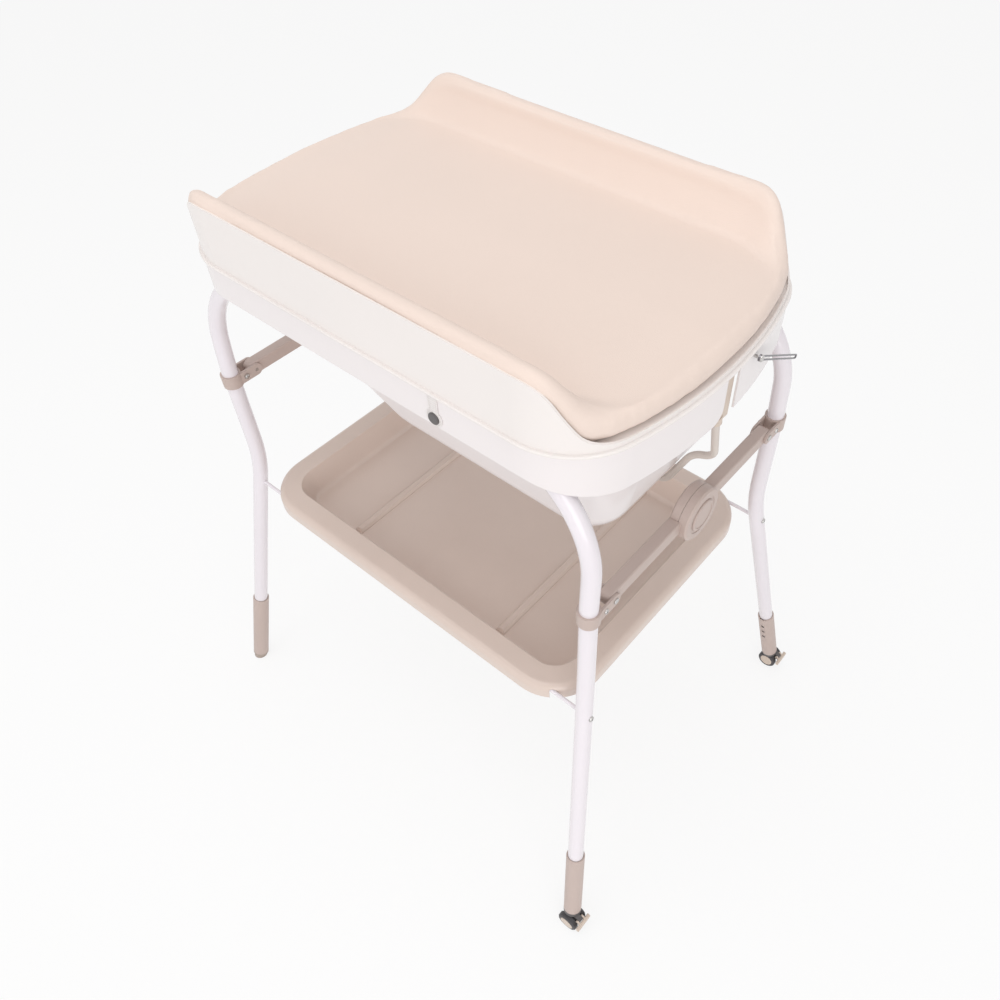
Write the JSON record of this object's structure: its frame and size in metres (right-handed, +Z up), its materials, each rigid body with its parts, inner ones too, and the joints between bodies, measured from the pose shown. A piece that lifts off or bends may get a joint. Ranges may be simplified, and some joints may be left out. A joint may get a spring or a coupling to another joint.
{
  "type": "changing table with bathtub",
  "caption": "Folding stand with a baby bath under a hinged, padded changing top, a storage tray and height-adjustable legs with casters at one end.",
  "frame": {"origin": "on the floor under the middle of the stand", "axes": "+X towards the end with the casters, -Y towards the front long side, +Z up"},
  "size_m": [0.8877, 0.7006, 1.068],
  "materials": {
    "frame_paint": "satin white powder coat on steel tube",
    "stay_plastic": "taupe moulded plastic, fine matt grain",
    "tray_plastic": "taupe moulded plastic, satin",
    "bath_plastic": "smooth white moulded plastic",
    "top_plastic": "smooth white moulded plastic",
    "pad_cover": "pale pink wipe-clean cover on foam",
    "strap_webbing": "white webbing",
    "steel": "zinc plated steel",
    "dark_plastic": "dark grey moulded plastic",
    "wheel_rubber": "dark grey wheel",
    "hub_plastic": "beige moulded plastic",
    "foot_rubber": "taupe rubber",
    "drain_plastic": "pale grey plastic",
    "hose_plastic": "pale grey-beige flexible hose"
  },
  "bodies": {
    "rear_frame": {"rear_frame_tube": "frame_paint", "rear_left_bracket": "stay_plastic", "rear_right_bracket": "stay_plastic", "rear_tray_rod": "frame_paint", "rear_stay_pins": "steel", "rear_snap_buttons": "steel"},
    "front_frame": {"front_frame_tube": "frame_paint", "front_left_bracket": "stay_plastic", "front_right_bracket": "stay_plastic", "front_tray_rod": "frame_paint", "front_stay_pins": "steel", "front_snap_buttons": "steel"},
    "rear_left_leg_end": {"rear_left_sleeve": "stay_plastic", "rear_left_foot": "foot_rubber"},
    "front_left_leg_end": {"front_left_sleeve": "stay_plastic", "front_left_foot": "foot_rubber"},
    "rear_right_leg_end": {"rear_right_sleeve": "stay_plastic", "rear_caster_housing": "dark_plastic", "rear_caster_pins": "steel"},
    "front_right_leg_end": {"front_right_sleeve": "stay_plastic", "front_caster_housing": "dark_plastic", "front_caster_pins": "steel"},
    "rear_outer_wheel": {"rear_caster_outer_tyre": "wheel_rubber", "rear_caster_outer_hub": "hub_plastic"},
    "rear_inner_wheel": {"rear_caster_inner_tyre": "wheel_rubber", "rear_caster_inner_hub": "hub_plastic"},
    "front_outer_wheel": {"front_caster_outer_tyre": "wheel_rubber", "front_caster_outer_hub": "hub_plastic"},
    "front_inner_wheel": {"front_caster_inner_tyre": "wheel_rubber", "front_caster_inner_hub": "hub_plastic"},
    "rear_pedal": {"rear_brake_pedal": "hub_plastic"},
    "front_pedal": {"front_brake_pedal": "hub_plastic"},
    "right_rear_stay_half": {"right_rear_stay": "stay_plastic", "right_knuckle_pin": "steel"},
    "right_front_stay_half": {"right_front_stay": "stay_plastic"},
    "right_button": {"right_lock_button": "stay_plastic"},
    "left_rear_stay_half": {"left_rear_stay": "stay_plastic", "left_knuckle_pin": "steel"},
    "left_front_stay_half": {"left_front_stay": "stay_plastic"},
    "left_button": {"left_lock_button": "stay_plastic"},
    "tray": {"storage_tray": "tray_plastic"},
    "bath_unit": {"bath": "bath_plastic", "drain_fitting": "drain_plastic", "drain_hose": "hose_plastic", "hose_clip": "hub_plastic", "top_hinge_pins": "steel", "snap_stud": "steel", "wire_screw": "steel"},
    "plug": {"drain_plug": "drain_plastic"},
    "wire": {"retaining_wire": "steel"},
    "top_unit": {"changing_top": "top_plastic", "changing_pad": "pad_cover", "closing_strap": "strap_webbing", "strap_cap": "dark_plastic"}
  },
  "joints": [
    {"name": "bath_tilt", "type": "hinge", "parent": "rear_frame", "child": "bath_unit", "pos_m": [0, 0.21, 0.938], "axis": [-1, 0, 0], "range_deg": [0, 90]},
    {"name": "tray_tilt", "type": "hinge", "parent": "rear_frame", "child": "tray", "pos_m": [0, 0.23221, 0.503], "axis": [-1, 0, 0], "range_deg": [0, 47]},
    {"name": "right_stay_rear_pivot", "type": "hinge", "parent": "rear_frame", "child": "right_rear_stay_half", "pos_m": [0.35, 0.184, 0.725], "axis": [1, 0, 0], "range_deg": [0, 47]},
    {"name": "right_stay_knuckle", "type": "hinge", "parent": "right_rear_stay_half", "child": "right_front_stay_half", "pos_m": [0.35, 0, 0.725], "axis": [1, 0, 0], "range_deg": [-94, 0]},
    {"name": "front_frame_fold", "type": "hinge", "parent": "right_front_stay_half", "child": "front_frame", "pos_m": [0.35, -0.184, 0.725], "axis": [1, 0, 0], "range_deg": [0, 47]},
    {"name": "left_stay_rear_pivot", "type": "hinge", "parent": "rear_frame", "child": "left_rear_stay_half", "pos_m": [-0.35, 0.184, 0.725], "axis": [1, 0, 0], "range_deg": [0, 47]},
    {"name": "left_stay_knuckle", "type": "hinge", "parent": "left_rear_stay_half", "child": "left_front_stay_half", "pos_m": [-0.35, 0, 0.725], "axis": [1, 0, 0], "range_deg": [-94, 0]},
    {"name": "right_lock_press", "type": "slide", "parent": "right_front_stay_half", "child": "right_button", "axis": [-1, 0, 0], "range_m": [0, 0.003], "stiffness_N_per_m": 900, "springref_m": -0.001},
    {"name": "left_lock_press", "type": "slide", "parent": "left_front_stay_half", "child": "left_button", "axis": [1, 0, 0], "range_m": [0, 0.003], "stiffness_N_per_m": 900, "springref_m": -0.001},
    {"name": "top_hinge", "type": "hinge", "parent": "bath_unit", "child": "top_unit", "pos_m": [0, 0.244, 0.966], "axis": [-1, 0, 0], "range_deg": [0, 95]},
    {"name": "rear_left_height", "type": "slide", "parent": "rear_frame", "child": "rear_left_leg_end", "axis": [0.1319, -0.2022, 0.9704], "range_m": [0, 0.04]},
    {"name": "front_left_height", "type": "slide", "parent": "front_frame", "child": "front_left_leg_end", "axis": [0.1319, 0.2022, 0.9704], "range_m": [0, 0.04]},
    {"name": "rear_right_height", "type": "slide", "parent": "rear_frame", "child": "rear_right_leg_end", "axis": [-0.1319, -0.2022, 0.9704], "range_m": [0, 0.04]},
    {"name": "front_right_height", "type": "slide", "parent": "front_frame", "child": "front_right_leg_end", "axis": [-0.1319, 0.2022, 0.9704], "range_m": [0, 0.04]},
    {"name": "plug_lift", "type": "slide", "parent": "bath_unit", "child": "plug", "axis": [0, 0, 1], "range_m": [0, 0.06]},
    {"name": "wire_release", "type": "hinge", "parent": "bath_unit", "child": "wire", "pos_m": [0.3784, 0.055, 0.959], "axis": [1, 0, 0], "range_deg": [0, 60]},
    {"name": "rear_outer_wheel_spin", "type": "hinge", "parent": "rear_right_leg_end", "child": "rear_outer_wheel", "pos_m": [0.42255, 0.33325, 0.018], "axis": [0, 1, 0], "continuous": true},
    {"name": "rear_inner_wheel_spin", "type": "hinge", "parent": "rear_right_leg_end", "child": "rear_inner_wheel", "pos_m": [0.42255, 0.33325, 0.018], "axis": [0, 1, 0], "continuous": true},
    {"name": "rear_brake", "type": "hinge", "parent": "rear_right_leg_end", "child": "rear_pedal", "pos_m": [0.43955, 0.33325, 0.033], "axis": [0, 1, 0], "range_deg": [-18, 0]},
    {"name": "front_outer_wheel_spin", "type": "hinge", "parent": "front_right_leg_end", "child": "front_outer_wheel", "pos_m": [0.42255, -0.33325, 0.018], "axis": [0, 1, 0], "continuous": true},
    {"name": "front_inner_wheel_spin", "type": "hinge", "parent": "front_right_leg_end", "child": "front_inner_wheel", "pos_m": [0.42255, -0.33325, 0.018], "axis": [0, 1, 0], "continuous": true},
    {"name": "front_brake", "type": "hinge", "parent": "front_right_leg_end", "child": "front_pedal", "pos_m": [0.43955, -0.33325, 0.033], "axis": [0, 1, 0], "range_deg": [-18, 0]}
  ],
  "couplings": [
    {"joint": "tray_tilt", "follows": "bath_tilt", "ratio": 0.52222},
    {"joint": "right_stay_rear_pivot", "follows": "bath_tilt", "ratio": 0.52222},
    {"joint": "right_stay_knuckle", "follows": "bath_tilt", "ratio": -1.0444},
    {"joint": "front_frame_fold", "follows": "bath_tilt", "ratio": 0.52222},
    {"joint": "left_stay_rear_pivot", "follows": "bath_tilt", "ratio": 0.52222},
    {"joint": "left_stay_knuckle", "follows": "bath_tilt", "ratio": -1.0444}
  ]
}
